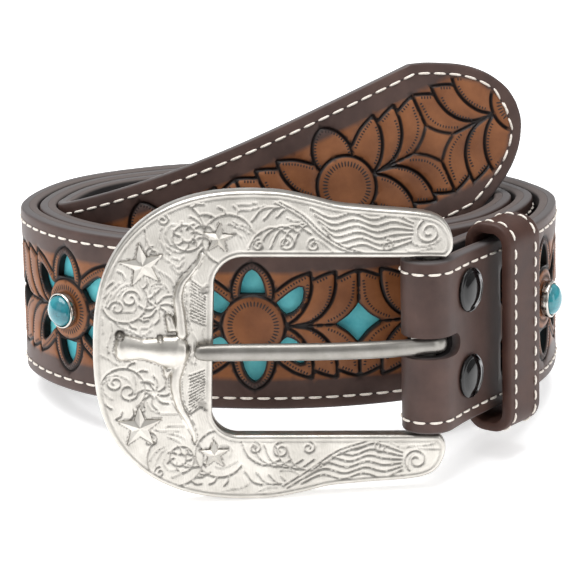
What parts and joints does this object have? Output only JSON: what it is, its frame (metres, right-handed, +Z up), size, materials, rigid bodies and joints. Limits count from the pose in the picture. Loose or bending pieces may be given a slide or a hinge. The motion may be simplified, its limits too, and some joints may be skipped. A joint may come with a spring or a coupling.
{
  "type": "western leather belt",
  "caption": "Tooled western belt in a loose coil on its edge, pierced over turquoise, with set stones, a leather keeper and a cast horseshoe buckle with steer head and stars.",
  "frame": {"origin": "centre of the bounding box on the surface the belt lies on", "axes": "+Z up, +X to the right and +Y away, seen from the front of the buckle"},
  "size_m": [0.1232, 0.1124, 0.0731],
  "materials": {
    "dark_leather": "smooth dark brown leather, tooled and painted",
    "keeper_leather": "smooth reddish brown leather",
    "back_leather": "matt, near black",
    "turquoise_sheet": "matt turquoise sheet",
    "turquoise_stone": "polished turquoise",
    "cast_silver": "silver plated zinc casting, satin with polished edges",
    "black_enamel": "glossy black"
  },
  "bodies": {
    "strap": {"strap_face": "dark_leather", "turquoise_underlay": "turquoise_sheet", "strap_backing": "back_leather", "keeper_loop": "keeper_leather", "upper_snap": "black_enamel", "lower_snap": "black_enamel", "right_bezel": "cast_silver", "right_stone": "turquoise_stone", "left_bezel": "cast_silver", "left_stone": "turquoise_stone"},
    "buckle": {"buckle_frame": "cast_silver"},
    "tongue": {"prong": "cast_silver"}
  },
  "joints": [
    {"name": "buckle_swing", "type": "hinge", "parent": "strap", "child": "buckle", "pos_m": [0.0296, -0.04435, 0.03162], "axis": [0.0435, 0.133, 0.9902], "range_deg": [-10, 20]},
    {"name": "prong_swing", "type": "hinge", "parent": "buckle", "child": "tongue", "pos_m": [0.0296, -0.04435, 0.03162], "axis": [0.0435, 0.133, 0.9902], "range_deg": [0, 90]}
  ]
}
